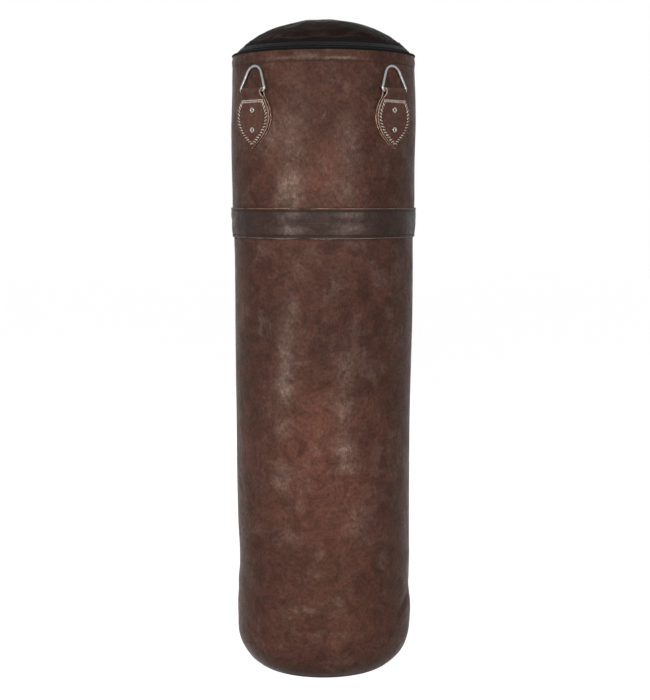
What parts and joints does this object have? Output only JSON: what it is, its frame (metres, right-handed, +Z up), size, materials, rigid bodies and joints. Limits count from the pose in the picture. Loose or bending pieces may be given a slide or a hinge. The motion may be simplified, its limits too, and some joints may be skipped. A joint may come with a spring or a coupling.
{
  "type": "heavy punching bag",
  "caption": "Stuffed cylindrical leather punching bag with a domed zip-on lid, a reinforcement band and riveted leather tabs that hold triangular steel hanging rings.",
  "frame": {"origin": "centre of the flat base, on the surface it stands on", "axes": "+Z up along the bag, -Y the front, +X to the right of someone facing the front"},
  "size_m": [0.3472, 0.3483, 1.22],
  "materials": {
    "body_leather": "satin",
    "band_leather": "satin",
    "lid_leather": "satin",
    "tab_leather": "satin",
    "lining_canvas": "matte",
    "belt_webbing": "matte",
    "padding_foam": "matte",
    "rag_filling": "matte",
    "zip_tape": "matte",
    "zip_nylon": "satin",
    "zip_metal": "satin",
    "ring_steel": "polished",
    "rivet_steel": "satin"
  },
  "bodies": {
    "bag": {"upper_panel": "body_leather", "main_panel": "body_leather", "base_disc": "body_leather", "reinforcement_band": "band_leather", "base_welt": "band_leather", "back_seam_strip_lower": "band_leather", "back_seam_strip_upper": "band_leather", "lid_hinge_strip": "lid_leather", "wall_lining": "lining_canvas", "inner_belt": "belt_webbing", "foam_wrap": "padding_foam", "bottom_pad": "padding_foam", "textile_filling": "rag_filling", "zip_lower_tape": "zip_tape", "zip_lower_teeth": "zip_nylon", "zip_end_stop_right": "zip_metal", "zip_end_stop_left": "zip_metal", "tab_front_left": "tab_leather", "rivet_front_left_upper": "rivet_steel", "washer_front_left_upper": "rivet_steel", "rivet_front_left_lower": "rivet_steel", "washer_front_left_lower": "rivet_steel", "tab_front_right": "tab_leather", "rivet_front_right_upper": "rivet_steel", "washer_front_right_upper": "rivet_steel", "rivet_front_right_lower": "rivet_steel", "washer_front_right_lower": "rivet_steel", "tab_rear_right": "tab_leather", "rivet_rear_right_upper": "rivet_steel", "washer_rear_right_upper": "rivet_steel", "rivet_rear_right_lower": "rivet_steel", "washer_rear_right_lower": "rivet_steel", "tab_rear_left": "tab_leather", "rivet_rear_left_upper": "rivet_steel", "washer_rear_left_upper": "rivet_steel", "rivet_rear_left_lower": "rivet_steel", "washer_rear_left_lower": "rivet_steel"},
    "lid": {"lid_panel": "lid_leather", "lid_pad": "padding_foam", "lid_lining": "lining_canvas", "zip_upper_tape": "zip_tape", "zip_upper_teeth": "zip_nylon"},
    "zip_slider": {"zip_slider": "zip_metal"},
    "zip_pull": {"zip_pull": "zip_metal"},
    "ring_front_left": {"ring_front_left": "ring_steel"},
    "ring_front_right": {"ring_front_right": "ring_steel"},
    "ring_rear_right": {"ring_rear_right": "ring_steel"},
    "ring_rear_left": {"ring_rear_left": "ring_steel"}
  },
  "joints": [
    {"name": "lid_hinge", "type": "hinge", "parent": "bag", "child": "lid", "pos_m": [0, 0.158, 1.1645], "axis": [-1, 0, 0], "range_deg": [0, 130], "deforming": ["lid_hinge_strip"]},
    {"name": "zip_travel", "type": "hinge", "parent": "bag", "child": "zip_slider", "pos_m": [0, 0, 1.16163], "axis": [0, 0, -1], "range_deg": [0, 337.5]},
    {"name": "zip_pull_hinge", "type": "hinge", "parent": "zip_slider", "child": "zip_pull", "pos_m": [0.03118, 0.15675, 1.16524], "axis": [-0.1379, -0.6935, 0.7071], "range_deg": [0, 150]},
    {"name": "ring_front_left_swing", "type": "hinge", "parent": "bag", "child": "ring_front_left", "pos_m": [-0.12637, -0.12637, 1.081], "axis": [0.7071, -0.7071, 0], "range_deg": [0, 140]},
    {"name": "ring_front_right_swing", "type": "hinge", "parent": "bag", "child": "ring_front_right", "pos_m": [0.12637, -0.12637, 1.081], "axis": [0.7071, 0.7071, 0], "range_deg": [0, 140]},
    {"name": "ring_rear_right_swing", "type": "hinge", "parent": "bag", "child": "ring_rear_right", "pos_m": [0.12637, 0.12637, 1.081], "axis": [-0.7071, 0.7071, 0], "range_deg": [0, 140]},
    {"name": "ring_rear_left_swing", "type": "hinge", "parent": "bag", "child": "ring_rear_left", "pos_m": [-0.12637, 0.12637, 1.081], "axis": [-0.7071, -0.7071, 0], "range_deg": [0, 140]}
  ]
}
